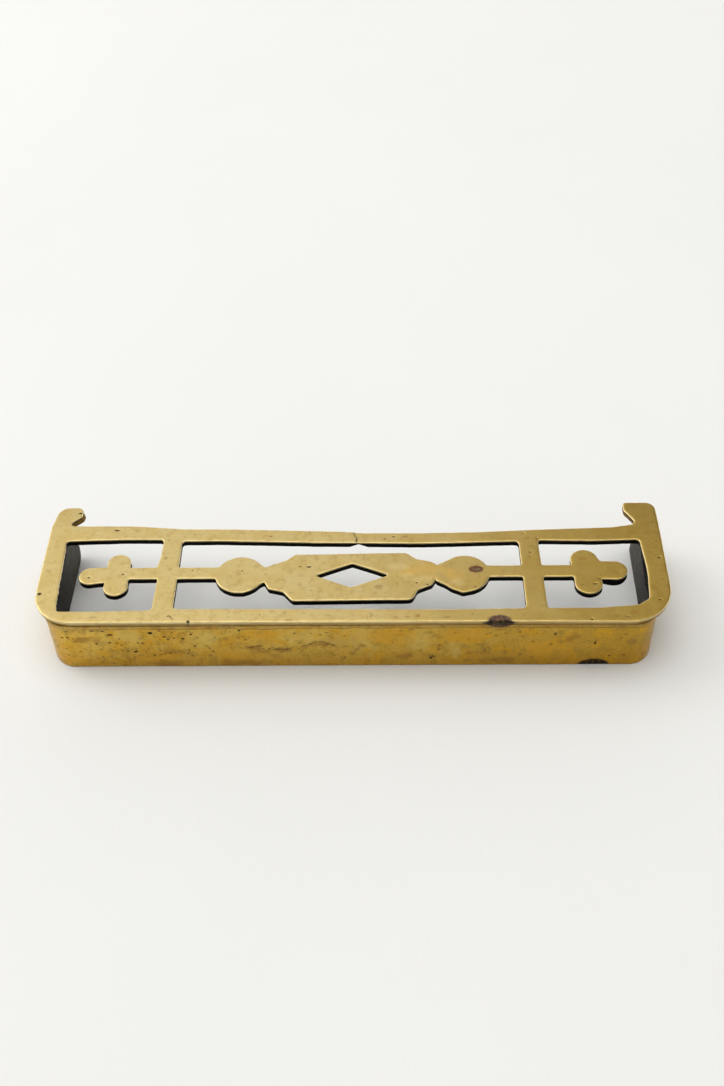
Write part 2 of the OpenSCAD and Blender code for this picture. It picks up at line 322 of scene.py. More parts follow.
# kind, x, z, half width, half height, on the skirt's front
SKIRT_MARKS = [
    ("soot", 78.0, -0.2, 5.3, 3.4), ("stain", 89.3, 11.6, 2.0, 1.7), ("rust", 47.0, 17.6, 1.6, 0.5),
    ("pit", -64.4, 16.8, 0.75, 0.6), ("pit", -70.2, 7.5, 0.75, 0.5), ("pit", -77.7, 15.9, 1.3, 0.4),
    ("pit", -60.1, 14.9, 0.6, 0.35), ("pit", -54.1, 13.9, 0.45, 0.35), ("pit", -51.3, 16.0, 0.4, 0.4),
    ("speck", -61.3, 17.9, 0.5, 0.4), ("pit", -60.9, 6.3, 0.4, 0.35), ("pit", -67.4, 11.6, 0.6, 0.3),
    ("pit", -82.4, 11.6, 0.4, 0.4), ("pit", -78.0, 12.1, 0.45, 0.35), ("pit", -75.7, 11.8, 0.35, 0.35),
    ("speck", -57.4, 6.8, 0.35, 0.3), ("pit", -52.6, 8.3, 0.35, 0.3), ("speck", -52.0, 5.4, 0.4, 0.3),
    ("pit", -79.6, 17.6, 0.6, 0.3), ("speck", -83.0, 17.9, 1.0, 0.3), ("pit", -93.2, 14.4, 0.5, 0.35),
    ("pit", -91.4, 14.7, 0.6, 0.3), ("speck", -89.6, 14.2, 0.4, 0.3), ("pit", -69.0, 11.9, 0.35, 0.3),
    ("pit", -35.7, 17.7, 0.55, 0.5), ("pit", -35.7, 16.2, 0.25, 0.25), ("pit", 57.9, 11.5, 0.6, 0.3),
    ("pit", 77.7, 11.1, 0.28, 0.9), ("pit", 25.4, 3.8, 0.6, 0.55), ("speck", 26.2, 4.6, 1.0, 0.4),
    ("speck", 82.8, 4.6, 0.5, 0.35), ("speck", 87.3, 5.1, 0.5, 0.4), ("speck", 87.0, 15.4, 0.5, 0.3),
    ("speck", 85.7, 13.6, 0.4, 0.3), ("pit", 43.2, 15.2, 0.6, 0.3), ("pit", 53.6, 16.3, 0.3, 0.3),
    ("speck", 28.0, 10.2, 0.6, 0.3), ("pit", -9.8, 15.4, 0.5, 0.3), ("speck", -7.9, 16.6, 0.8, 0.25),
    # Painted highlights: the broad pale patches up the middle of the skirt's front
    ("olive_highlight", -46.0, 13.0, 5.0, 5.0), ("olive_highlight", -15.0, 14.5, 9.0, 4.0), ("olive_highlight", 3.0, 12.0, 5.5, 7.0),
    ("olive_highlight", 22.0, 12.0, 5.0, 6.0), ("olive_highlight", 33.0, 8.0, 4.0, 4.0), ("olive_highlight", -72.0, 15.0, 6.0, 3.0),
    ("brown", 3.6, 9.9, 1.6, 1.1), ("brown", 1.9, 8.2, 1.6, 1.1), ("brown", 0.3, 6.5, 1.5, 1.1),
    ("brown", -31.0, 9.4, 4.0, 1.4), ("brown", -22.5, 8.2, 3.6, 1.3), ("brown", -28.0, 7.4, 2.4, 1.2),
    ("brown", -9.5, 10.6, 3.6, 1.2), ("brown", -58.0, 7.5, 4.0, 2.0), ("brown", -86.0, 13.5, 4.0, 1.6),
    ("brown", 18.0, 5.0, 3.0, 1.6), ("brown", 40.0, 6.5, 4.0, 1.6), ("brown", 70.0, 13.0, 3.0, 2.0),
    ("amber", -62.0, 4.0, 9.0, 5.0), ("amber", -27.0, 15.5, 7.0, 3.4),
    ("amber", -38.0, 4.0, 9.0, 4.5), ("amber", 12.0, 14.0, 11.0, 4.5), ("amber", 36.0, 15.0, 10.0, 4.0),
    ("amber", -92.0, 5.0, 6.0, 4.5), ("amber", 62.0, 8.0, 9.0, 4.0), ("honey", -4.0, 12.5, 7.0, 3.5),
    ("brown", -60.0, 1.5, 8.0, 2.2), ("brown", -36.0, 2.0, 9.0, 2.4), ("brown", 47.0, 2.5, 8.0, 2.0),
    ("rust", -12.8, 9.6, 0.5, 0.3), ("rust", -8.3, 9.9, 0.7, 0.4), ("rust", -7.0, 9.4, 0.5, 0.3),
    ("speck", -28.5, 8.9, 0.4, 0.3), ("speck", -26.6, 8.7, 0.5, 0.4), ("speck", -25.6, 9.3, 0.4, 0.25),
]

# The points (x, y) that the crack and a crooked stain on the plate run through
CRACK = [(CRACK_X - 0.4, 13.4), (CRACK_X, 11.6), (CRACK_X + 0.6, 10.6), (CRACK_X + 0.4, 8.0)]
CROOKED_STAIN = [(58.4, 6.2), (59.8, 6.0), (60.6, 4.4), (60.4, 2.8)]

# The points (x, z) that each scratch on the skirt's front runs through
SKIRT_SCRATCHES = [
    [(-34.0, 9.0), (-31.0, 10.1), (-28.4, 10.5)],
    [(-27.0, 8.2), (-24.0, 8.8), (-21.5, 8.2), (-18.6, 9.2)],
    [(-13.4, 11.0), (-11.4, 12.3), (-9.0, 12.1), (-5.6, 10.2)],
    [(-9.0, 11.2), (-7.0, 10.5)],
    [(-15.4, 10.2), (-13.6, 10.6)],
]


def curve_through(points, step):
    """Points every step along straight stretches between the given ones, with the corners eased."""
    points = np.array(points, float)
    along = np.r_[0, np.cumsum(np.linalg.norm(np.diff(points, axis=0), axis=1))]
    at = np.arange(0, along[-1], step)
    path = np.c_[np.interp(at, along, points[:, 0]), np.interp(at, along, points[:, 1])]
    for _ in range(12):
        path[1:-1] = 0.25 * path[:-2] + 0.5 * path[1:-1] + 0.25 * path[2:]
    return path


def line_marks(kind, points, half_width):
    """A scratch or a crack as a run of small marks."""
    path = curve_through(points, 0.24)
    path += 0.12 * np.c_[field(path, 1.1, 3), field(path, 1.1, 4)]
    return [(kind, x, y, half_width, half_width) for x, y in path]


def mark_points(marks):
    """Extra mesh points in and around the marks, so that their shape shows."""
    out = []
    for kind, x, y, rx, ry in marks:
        if kind in SOFT_KINDS:
            continue
        if min(rx, ry) > 0.8:
            across = np.arange(-1.2 * rx, 1.2 * rx, 0.34)
            gx, gy = np.meshgrid(across, np.arange(-1.2 * ry, 1.2 * ry, 0.34))
            near = (gx / rx) ** 2 + (gy / ry) ** 2 < 1.4
            out.append(np.c_[x + gx[near], y + gy[near]])
            continue
        out.append([[x, y]])
        for share, count in ((0.5, 6), (0.95, 9), (1.3, 10)):
            if max(rx, ry) < 0.2 and share != 0.95:
                continue
            t = np.linspace(0, 2 * math.pi, count, endpoint=False) + x
            out.append(np.c_[x + share * rx * np.cos(t), y + share * ry * np.sin(t)])
    return np.vstack(out) if out else np.empty((0, 2))


def apply_marks(points, marks):
    """(colour and strength, depth) of the marks at each point."""
    colour = np.zeros((len(points), 4))
    depth = np.zeros(len(points))
    wobble = 0.16 * field(points, 1.3, 5)
    swirl = field(points, 3.4, 27, 4)
    for kind, x, y, rx, ry in marks:
        rgb, hollow, strength = KINDS[kind]
        reach = 1.6 * max(rx, ry)
        near = np.flatnonzero((np.abs(points[:, 0] - x) < reach) & (np.abs(points[:, 1] - y) < reach))
        if not len(near):
            continue
        p = points[near]
        e = np.hypot((p[:, 0] - x) / rx, (p[:, 1] - y) / ry)
        e += wobble[near] * min(1.0, 0.5 / min(rx, ry) + 0.4)
        broad = kind in SOFT_KINDS
        soft = 0.8 if broad else 0.3
        if broad:
            e += 0.65 * swirl[near]
        w = strength * (1 - smoothstep(1.1 - soft, 1.1, e))
        a = colour[near, 3]
        total = w + a * (1 - w)
        safe = np.maximum(total, 1e-6)
        colour[near, :3] = (colour[near, :3] * (a * (1 - w))[:, None] + np.outer(w, rgb)) / safe[:, None]
        colour[near, 3] = total
        depth[near] = np.maximum(depth[near], hollow * (1 - smoothstep(0.2, 1.15, e)))
    return colour, depth


def random_marks(count, low, high, where=None):
    """Small casting pits, scattered. where(x, y) is the chance that one is kept."""
    out = []
    while len(out) < count:
        x, y = rng.uniform(low[0], high[0]), rng.uniform(low[1], high[1])
        if where is not None and rng.uniform() > where(x, y):
            continue
        r = 0.1 + 0.16 * rng.uniform() ** 2
        out.append(("pit" if rng.uniform() < 0.35 else "speck", x, y, r * rng.uniform(1, 1.8), r))
    return out


# ---- meshes ------------------------------------------------------------------


def make_piece(name, points, tris, mark, patina_and_light, material, node):
    """A mesh object from points in mm, that stands for a CAD node."""
    points = np.asarray(points, float) * MM
    mesh = bpy.data.meshes.new(name)
    mesh.vertices.add(len(points))
    mesh.vertices.foreach_set("co", points.astype(np.float32).ravel())
    tris = np.asarray(tris, np.int32)
    mesh.loops.add(tris.size)
    mesh.loops.foreach_set("vertex_index", tris.ravel())
    mesh.polygons.add(len(tris))
    mesh.polygons.foreach_set("loop_start", np.arange(len(tris), dtype=np.int32) * 3)
    mesh.polygons.foreach_set("use_smooth", np.ones(len(tris), bool))
    mesh.update(calc_edges=True)
    mesh.validate()
    layer = mesh.attributes.new("mark", "FLOAT_COLOR", "POINT")
    layer.data.foreach_set("color", np.asarray(mark, np.float32).ravel())
    layer = mesh.attributes.new("patina_and_light", "FLOAT", "POINT")
    layer.data.foreach_set("value", np.asarray(patina_and_light, np.float32))
    mesh.materials.append(material)
    piece = bpy.data.objects.new(name, mesh)
    bpy.context.scene.collection.objects.link(piece)
    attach(piece, "root")
    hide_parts(node)
    return piece


def slab(outline, near, far_side, wall_rows, wall_shape):
    """A closed plate between two filled faces with the same outline.

    near and far_side are (rings, spacing, extra points, place), where place turns points of the flat
    outline and their distance from its edge into (points in space, marks, patina).
    wall_shape(low, high, share) gives the wall between the two edges at that share of the way."""
    parts, tris, marks, patina_and_light, start = [], [], [], [], 0
    n = len(outline.points)
    starts = []
    for rings, spacing, extra, place in (near, far_side):
        flat, faces = fill(outline, rings, spacing, extra)
        dist, _ = outline.distance(flat)
        dist[:n] = 0
        xyz, mark, dark = place(flat, np.maximum(dist, 0))
        parts.append(xyz)
        marks.append(mark)
        patina_and_light.append(dark)
        tris.append(start + (faces if not starts else faces[:, ::-1]))
        starts.append(start)
        start += len(flat)
    rows = [np.arange(n) + starts[0]]
    for k in range(1, wall_rows + 1):
        share = 0.05 + 0.9 * (k - 1) / (wall_rows - 1)
        xyz, mark, dark = wall_shape(parts[0][:n], parts[1][:n], share)
        parts.append(xyz)
        marks.append(mark)
        patina_and_light.append(dark)
        rows.append(np.arange(n) + start)
        start += n
    rows.append(np.arange(n) + starts[1])
    for upper, lower in zip(rows, rows[1:]):
        a, b = upper, upper[outline.ahead]
        c, d = lower, lower[outline.ahead]
        tris += [np.c_[a, c, d], np.c_[a, d, b]]
    return np.vstack(parts), np.vstack(tris), np.vstack(marks), np.concatenate(patina_and_light)


# Colours and strengths of the marks that cover whole faces
NO_MARK = np.zeros(4)
CRUST_AND_BACK_LIGHT = np.array([0.105, 0.098, 0.074, 0.6])        # a pale grey coat inside the skirt, made paler towards the open back: in part painted light falling in there
LIP_DARK_REFLECTION = np.array([0.36, 0.215, 0.050, 0.6])   # painted darker reflection on the lip's edge: golden-brown, as if it mirrored a dim room in front


# ---- materials ---------------------------------------------------------------


class Nodes:
    """Short calls for building a node tree."""

    def __init__(self, tree):
        self.tree = tree
        tree.nodes.clear()

    def add(self, kind, inputs=(), **settings):
        made = self.tree.nodes.new(kind)
        for name, value in settings.items():
            setattr(made, name, value)
        for name, value in dict(inputs).items():
            socket = made.inputs[name]
            if isinstance(value, bpy.types.NodeSocket):
                self.tree.links.new(value, socket)
            else:
                socket.default_value = value
        return made

    def math(self, operation, a, b=0.0, clamp=False):
        return self.add("ShaderNodeMath", {0: a, 1: b}, operation=operation, use_clamp=clamp).outputs[0]

    def noise(self, vector, scale, detail=3.0, rough=0.55, distortion=0.0):
        made = self.add("ShaderNodeTexNoise", {"Vector": vector, "Scale": scale, "Detail": detail,
                                               "Roughness": rough, "Distortion": distortion})
        return made.outputs["Fac"]

    def band(self, value, low, high):
        """0 at low, 1 at high, and smooth between them."""
        made = self.add("ShaderNodeMapRange", {"Value": value, "From Min": low, "From Max": high},
                        interpolation_type="SMOOTHSTEP")
        return made.outputs["Result"]

    def mix(self, factor, a, b):
        made = self.add("ShaderNodeMix", data_type="RGBA")
        for socket, value in ((made.inputs[0], factor), (made.inputs[6], a), (made.inputs[7], b)):
            if isinstance(value, bpy.types.NodeSocket):
                self.tree.links.new(value, socket)
            else:
                socket.default_value = value if isinstance(value, float) else (*value, 1.0)[:4]
        return made.outputs[2]

    def mix_value(self, factor, a, b):
        return self.math("ADD", a, self.math("MULTIPLY", factor, self.math("SUBTRACT", b, a)))

    def stretch(self, vector, scales):
        return self.add("ShaderNodeVectorMath", {0: vector, 1: scales}, operation="MULTIPLY").outputs[0]


def brass(name, left, right, warm, dull, roughness, seed, warm_share=0.5, mottle=0.5,
          brush=(0.05, 1.6, 1.6), freckles=0.5, foot=0.0):
    """Old hand-finished brass. Its colour runs from left to right along the piece, darker to the right in
    part as a painted reflection of the dimmer room there, with warm and dull blotches, file and polishing
    lines, fine pits, and the marks, oxide, painted shade and painted edge highlights that the mesh carries."""
    material = bpy.data.materials.new(name)
    material.use_nodes = True
    n = Nodes(material.node_tree)
    place = n.add("ShaderNodeTexCoord").outputs["Object"]
    mm = n.stretch(place, (1000.0, 1000.0, 1000.0))
    shift = (seed * 31.0, seed * 17.0, seed * 7.0)
    at = n.add("ShaderNodeVectorMath", {0: mm, 1: shift}, operation="ADD").outputs[0]
    axes = n.add("ShaderNodeSeparateXYZ", {0: mm})
    x, y, z = axes.outputs[0], axes.outputs[1], axes.outputs[2]
    patina_and_light = n.add("ShaderNodeAttribute", attribute_name="patina_and_light").outputs["Fac"]
    mark = n.add("ShaderNodeAttribute", attribute_name="mark")

    # Noise from about 15 mm across down to a fine grain, and the lines of file and polish
    broad = n.noise(at, 0.07, 3.0, 0.55)
    blotch = n.noise(at, 0.16, 4.0, 0.62, 0.4)
    cloud = n.noise(at, 0.42, 5.0, 0.68)
    fine = n.noise(at, 1.3, 4.0, 0.68)
    grain = n.noise(at, 4.5, 2.0, 0.6)
    lines = n.noise(n.stretch(at, brush), 2.6, 3.0, 0.6)

    # The brass itself, darker to the right in part as a painted reflection, duller towards its back end and
    # warmer at its foot
    wander = n.math("MULTIPLY", n.math("SUBTRACT", broad, 0.5), 90.0)
    along = n.math("POWER", n.band(n.math("ADD", x, wander), -60.0, 95.0), 1.6)
    colour = n.mix(along, left, right)
    colour = n.mix(n.math("MULTIPLY", n.band(blotch, 0.42, 0.66), warm_share), colour, warm)
    colour = n.mix(n.math("MULTIPLY", n.band(cloud, 0.46, 0.72), mottle), colour, dull)
    colour = n.mix(n.math("MULTIPLY", n.band(lines, 0.5, 0.75), 0.3), colour, dull)
    colour = n.mix(n.math("MULTIPLY", n.band(y, 13.0, 27.0), 0.25), colour, dull)
    uneven = n.math("MULTIPLY", n.math("SUBTRACT", blotch, 0.5), 26.0)
    low = n.band(n.math("ADD", z, uneven), 9.0, 0.0)
    colour = n.mix(n.math("MULTIPLY", low, foot), colour, (0.50, 0.245, 0.018))
    speckled = n.math("ADD", fine, n.math("MULTIPLY", cloud, 0.35))
    specks = n.math("MULTIPLY", n.band(speckled, 0.76, 0.86), freckles)
    colour = n.mix(specks, colour, (0.20, 0.095, 0.024))

    # Pits
    cells = n.add("ShaderNodeTexVoronoi", {"Vector": at, "Scale": 0.62, "Randomness": 1.0})
    size = n.math("MULTIPLY", n.band(n.noise(at, 0.11, 2.0), 0.45, 0.7), 0.13)
    pits = n.band(n.math("SUBTRACT", cells.outputs["Distance"], size), 0.0, -0.05)
    pits = n.math("MULTIPLY", pits, n.band(freckles, 0.0, 0.6))
    colour = n.mix(n.math("MULTIPLY", pits, 0.85), colour, (0.06, 0.028, 0.010))

    # The black coat where the patina-and-light value is towards 1: oxide, and on the window walls and in the
    # crevice under the lip also painted shade. Where the value is under 0, a painted highlight: the plate's
    # upper edges turn pale cream
    broken = n.math("ADD", patina_and_light, n.math("MULTIPLY", n.math("SUBTRACT", fine, 0.5), 0.5))
    crust_and_shade = n.band(broken, 0.3, 0.62)
    dark = n.mix(n.band(blotch, 0.35, 0.7), (0.006, 0.006, 0.005), (0.026, 0.025, 0.020))
    dark = n.mix(n.band(grain, 0.6, 0.85), dark, (0.070, 0.062, 0.044))
    dark = n.mix(n.band(patina_and_light, 0.96, 1.0), dark, (0.006, 0.005, 0.004))
    edge_highlight = n.band(patina_and_light, -0.02, -0.3)
    colour = n.mix(n.math("MULTIPLY", edge_highlight, 0.65), colour, (0.86, 0.73, 0.42))
    colour = n.mix(crust_and_shade, colour, dark)

    # The marks
    ragged = n.mix_value(n.band(fine, 0.3, 0.6), 0.72, 1.12)
    strength = n.math("MULTIPLY", mark.outputs["Alpha"], ragged, clamp=True)
    colour = n.mix(strength, colour, mark.outputs["Color"])

    # How dull and how metallic it is
    rough = n.mix_value(n.band(cloud, 0.3, 0.75), roughness - 0.05, roughness + 0.1)
    rough = n.math("ADD", rough, n.math("MULTIPLY", n.band(lines, 0.45, 0.7), 0.06))
    rough = n.mix_value(strength, rough, 0.5)
    rough = n.mix_value(crust_and_shade, rough, 0.6)
    metal = n.math("SUBTRACT", 1.0, n.math("MULTIPLY", crust_and_shade, 0.3))
    metal = n.math("SUBTRACT", metal, n.math("MULTIPLY", strength, 0.3), clamp=True)
    gloss = n.mix_value(n.math("MAXIMUM", strength, crust_and_shade), 0.5, 0.12)

    # Its fine relief
    height = n.math("MULTIPLY", lines, 0.3)
    height = n.math("ADD", height, n.math("MULTIPLY", grain, 0.12))
    height = n.math("ADD", height, n.math("MULTIPLY", fine, 0.5))
    height = n.math("ADD", height, n.math("MULTIPLY", cloud, 0.8))
    height = n.math("SUBTRACT", height, n.math("MULTIPLY", pits, 1.6))
    height = n.math("SUBTRACT", height, n.math("MULTIPLY", specks, 0.5))
    height = n.math("ADD", height, n.math("MULTIPLY", n.math("MULTIPLY", grain, crust_and_shade), 1.3))
    bump = n.add("ShaderNodeBump", {"Height": height, "Strength": 1.0, "Distance": 0.00006})
    shader = n.add("ShaderNodeBsdfPrincipled", {"Base Color": colour, "Metallic": metal, "Roughness": rough,
                                                "Specular IOR Level": gloss, "Normal": bump.outputs[0]})
    n.add("ShaderNodeOutputMaterial", {"Surface": shader.outputs[0]})
    return material


def floor_material():
    """Plain pale cloth, with a faint weave."""
    material = bpy.data.materials.new("pale_cloth")
    material.use_nodes = True
    n = Nodes(material.node_tree)
    place = n.add("ShaderNodeTexCoord").outputs["Object"]
    soft = n.noise(place, 6.0, 3.0)
    weave = n.noise(n.stretch(place, (1100.0, 60.0, 1.0)), 1.0, 1.0)
    colour = n.mix(soft, (0.80, 0.80, 0.785), (0.84, 0.84, 0.83))
    bump = n.add("ShaderNodeBump", {"Height": weave, "Strength": 0.25, "Distance": 0.0002})
    shader = n.add("ShaderNodeBsdfPrincipled", {"Base Color": colour, "Roughness": 0.9,
                                                "Normal": bump.outputs[0]})
    n.add("ShaderNodeOutputMaterial", {"Surface": shader.outputs[0]})
    return material


plate_brass = brass("plate_brass", left=(0.60, 0.47, 0.205), right=(0.43, 0.285, 0.062),
                    warm=(0.52, 0.35, 0.09), dull=(0.35, 0.235, 0.075), roughness=0.33, seed=1,
                    warm_share=0.35, mottle=0.55, freckles=0.12)
skirt_brass = brass("skirt_brass", left=(0.635, 0.422, 0.080), right=(0.46, 0.274, 0.031),
                    warm=(0.62, 0.32, 0.014), dull=(0.34, 0.215, 0.040), roughness=0.30, seed=2,
                    warm_share=0.7, mottle=0.75, brush=(0.5, 0.5, 0.06), foot=0.3)
braze_brass = brass("braze_brass", left=(0.56, 0.37, 0.09), right=(0.44, 0.27, 0.05),
                    warm=(0.50, 0.25, 0.03), dull=(0.20, 0.12, 0.04), roughness=0.40, seed=3)
braze_dark = brass("braze_dark", left=(0.10, 0.08, 0.04), right=(0.10, 0.08, 0.04),
                   warm=(0.12, 0.07, 0.03), dull=(0.04, 0.03, 0.02), roughness=0.6, seed=4)


# ---- the plate ---------------------------------------------------------------


def bump_at(points, centre, size):
    """1 at the centre and falling off to 0 over about that size."""
    return np.exp(-(((points[:, :2] - centre) / size) ** 2).sum(1))


def plate_outline():
    """The plate's outlines as they are cut and filed: eased corners and a slightly uneven line."""
    loops = []
    for i, loop in enumerate(top_outlines(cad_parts["top_plate"], plate_hi[2])):
        points = soften(resample(loop, EDGE_STEP), 1)
        wave = 0.05 * field(points, 6.0, 20 + i) + 0.025 * field(points, 1.8, 40 + i)
        if i > 0:
            left_edge = smoothstep(-93.5, -95, points[:, 0]) * smoothstep(10, 8, points[:, 1])
            wave += left_edge * 0.22 * field(points, 1.2, 9)
        wave += DENT * bump_at(points, DENT_AT, DENT_SIZE)
        furthest_out = -0.02 if i == 0 else -1
        points = points + inward(points) * np.maximum(wave, furthest_out)[:, None]
        past_crack = (points[:, 0] - CRACK_X) / CRACK_STEP_RUN
        step = (points[:, 1] > 12) & (past_crack > 0) & (past_crack < 1)
        points[step, 1] -= CRACK_STEP * (1 - past_crack[step])
        loops.append(points)
    return Outline(loops)


def plate_piece():
    outline = plate_outline()
    crack = line_marks("crack", CRACK, 0.09)
    scattered = random_marks(24, (-101, -25.5), (101, 15), lambda x, y: 0.9 if x < 0 else 0.6)
    marks = PLATE_MARKS + scattered + crack + line_marks("stain", CROOKED_STAIN, 0.16)
    top_z = plate_hi[2]
    foot_z = plate_lo[2]
    edge = outline.points
    outer = outline.loop_of == 0
    undercut = LIP_UNDERCUT * smoothstep(8, -8, edge[:, 1]) * outer
    hollow = [outer * smoothstep(5.5, 3.5, np.hypot(*(edge - spot).T)) for spot in HOLLOWS]
    flare = HORN_FLARE * hollow[0]

    def top(flat, far):
        mark, depth = apply_marks(flat, marks)
        z = top_z - TOP_SKIM - round_drop(far, PLATE_EDGE_R) - depth
        z += 0.045 * field(flat, 13.0, 6) + 0.008 * field(flat, 2.6, 7)
        z -= RAIL_BEVEL * np.clip((RAIL_BEVEL_Y - flat[:, 1]) / RAIL_BEVEL_RUN, 0, 1.1)
        # Painted highlight: near the upper edges the value drops below 0, which paints them pale cream
        return np.c_[flat, z], mark, 0.05 - 0.34 * smoothstep(0.4, 0.08, far)

    def foot(flat, far):
        _, near = outline.distance(flat)
        z = foot_z + round_drop(far, PLATE_FOOT_R) + 0.03 + 0.03 * field(flat, 3.0, 8)
        z -= LUMP * bump_at(flat, LUMP_AT, LUMP_SIZE)
        z += NICK * np.clip(1 - np.abs(flat[:, 0] - NICK_X) / NICK_HALF_W, 0, 1) * (flat[:, 1] > 6)
        in_by = (undercut - flare)[near] * np.clip(1 - far / 0.9, 0, 1)
        xy = flat + outline.normal[near] * in_by[:, None]
        return np.c_[xy, z], np.tile(NO_MARK, (len(flat), 1)), np.where(far < 0.3, 1.0, 0.72)

    # The window walls, and the outer edge in the hollows by the horns, are blackened: oxide, and in part
    # painted shade
    wall_crust_and_shade = np.where(outer, 0.05 + 0.95 * np.maximum(*hollow), 1.0)
    edge_mark, _ = apply_marks(edge, marks)
    edge_mark[~outer] = NO_MARK
    # Painted darker reflection: below its top row the lip's edge is painted golden-brown
    lip = outer & (edge_mark[:, 3] < 0.3)
    lip_mark = np.where(lip[:, None], LIP_DARK_REFLECTION, edge_mark)
    burn = [("soot", BURN_X, top_z - 1.0, 5.8, 1.1)]

    def wall(upper, lower, share):
        xyz = np.c_[edge, upper[:, 2] + (lower[:, 2] - upper[:, 2]) * share]
        in_by = undercut * smoothstep(0.4, 0.62, share) - flare * share
        xyz[:, :2] += outline.normal * in_by[:, None]
        push = 0.05 * field(xyz, 1.4, 12)
        xyz[:, :2] += outline.normal * np.maximum(push, -0.01)[:, None]
        # Painted shade: the lower part of the lip's wall, in the crevice under its overhang, is darkened
        crevice_shade = 0.9 * undercut * smoothstep(0.4, 0.7, share)
        side_mark = (edge_mark if share < 0.2 else lip_mark).copy()
        burnt, _ = apply_marks(xyz[:, [0, 2]], burn)
        at_front = (burnt[:, 3] > 0.2) & outer & (edge[:, 1] < -20)
        side_mark[at_front] = burnt[at_front]
        return xyz, side_mark, wall_crust_and_shade + crevice_shade

    upper_face = ((0.03, 0.11, 0.24, PLATE_EDGE_R), 0.62, mark_points(marks), top)
    lower_face = ((0.04, PLATE_FOOT_R, 0.5), 1.1, np.empty((0, 2)), foot)
    points, tris, mark, patina_and_light = slab(outline, upper_face, lower_face, wall_rows=5, wall_shape=wall)
    return make_piece("pierced_plate", sag(points), tris, mark, patina_and_light, plate_brass, "top_plate")


# ---- the skirt and its brazing -----------------------------------------------


def lean(spot, normal, z):
    """The side walls lean in a little towards their foot and their back end."""
    amount = np.where(normal[:, 0] > 0, LEAN_RIGHT, LEAN_LEFT) * np.abs(normal[:, 0])
    amount *= 0.55 + 0.45 * smoothstep(skirt_lo[1], skirt_hi[1], spot[:, 1])
    return spot - normal * (amount * (1 - np.clip(z / skirt_hi[2], 0, 1)))[:, None]


class Path:
    """The skirt's outer face in plan, from the left wall's back end round to the right wall's."""

    def __init__(self, inset=0.0):
        left, right = skirt_lo[0] + inset, skirt_hi[0] - RIGHT_IN - inset
        front, back = skirt_lo[1] + inset, skirt_hi[1]
        self.r = BEND_R - inset
        self.left = left
        self.front = front
        self.side = back - front - self.r
        self.left_side = self.side - LEFT_SHORT
        self.arc = self.r * math.pi / 2
        self.run = right - left - 2 * self.r
        self.length = self.left_side + self.side + 2 * self.arc + self.run
        self.marks_from = self.left_side + self.arc - (left + self.r)

    def at(self, s):
        """(points, outward normals) at these distances along the path."""
        s = np.asarray(s, float)
        a, b, c, d = np.cumsum([self.left_side, self.arc, self.run, self.arc])
        turn1 = np.clip((s - a) / self.arc, 0, 1) * math.pi / 2
        turn2 = np.clip((s - c) / self.arc, 0, 1) * math.pi / 2
        nx = np.where(s < c, -np.cos(turn1), np.sin(turn2))
        ny = np.where(s < c, -np.sin(turn1), -np.cos(turn2))
        x = self.left + self.r + np.clip(s - b, 0, self.run)
        y = self.front + self.r + np.maximum(a - s, 0) + np.maximum(s - d, 0)
        return np.c_[x + self.r * nx, y + self.r * ny], np.c_[nx, ny]


def skirt_piece():
    path = Path()
    height = skirt_hi[2] - skirt_lo[2]
    turn = np.linspace(0, math.pi / 2, 9)
    corner = TAIL_CORNER_R * np.c_[1 - np.cos(turn), 1 - np.sin(turn)]
    loop = np.vstack([corner, [[path.length, 0], [path.length, height], [0, height]]])
    loop = soften(resample(loop, 0.5), 2)
    outline = Outline([loop])

    def along(mark):
        kind, x, z, rx, rz = mark
        return kind, x + path.marks_from, z, rx, rz

    scratches = [m for points in SKIRT_SCRATCHES for m in line_marks("speck", points, 0.14)]
    scattered = random_marks(130, (-93, 1.5), (90, 19.0), lambda x, z: 0.95 if x < -45 else 0.42)
    marks = [along(m) for m in SKIRT_MARKS + scratches + scattered]
    marks += random_marks(50, (2, 2), (path.left_side + 8, 19))
    marks += random_marks(40, (path.length - path.side - 6, 2), (path.length - 2, 19))

    def face(flat, far):
        spot, normal = path.at(flat[:, 0])
        mark, depth = apply_marks(flat, marks)
        dent = round_drop(far, SKIRT_EDGE_R) + depth
        dent += 0.06 + 0.06 * field(flat, 16.0, 13) + 0.02 * field(flat, 3.2, 14)
        spot = lean(spot - normal * np.maximum(dent, 0)[:, None], normal, flat[:, 1])
        low = 1 - smoothstep(0.0, 1.3, flat[:, 1])
        return np.c_[spot, flat[:, 1] + skirt_lo[2]], mark, 0.06 + 0.34 * low

    def inside(flat, far):
        spot, normal = path.at(flat[:, 0])
        dent = round_drop(far, SKIRT_EDGE_R) + 0.05
        dent += 0.04 * field(flat, 2.2, 15) + 0.05 * field(flat, 9.0, 16)
        spot = lean(spot - normal * (WALL_T - np.maximum(dent, 0))[:, None], normal, flat[:, 1])
        back_lit_crust = np.tile(CRUST_AND_BACK_LIGHT, (len(flat), 1))
        mottle = 0.72 + 0.25 * field(flat, 3.0, 23) + 0.4 * field(flat, 1.6, 24)
        # In part painted light: the pale coat grows towards the open back, where light falls in
        back_lit_crust[:, 3] *= smoothstep(-8, 12, spot[:, 1]) * np.clip(mottle, 0, 1.3)
        return np.c_[spot, flat[:, 1] + skirt_lo[2]], back_lit_crust, 0.95 * np.ones(len(flat))

    def wall(upper, lower, share):
        xyz = upper + (lower - upper) * share
        return xyz, np.tile(NO_MARK, (len(upper), 1)), 0.6 * np.ones(len(upper))

    outer_face = ((0.06, 0.2, SKIRT_EDGE_R), 0.66, mark_points(marks), face)
    inner_face = ((0.12, SKIRT_EDGE_R), 0.95, np.empty((0, 2)), inside)
    points, tris, mark, patina_and_light = slab(outline, outer_face, inner_face, wall_rows=2, wall_shape=wall)
    return make_piece("bent_skirt", sag(points), tris, mark, patina_and_light, skirt_brass, "skirt")


BRAZE_GAP = 0.02   # between the brazing metal and the plate's underside


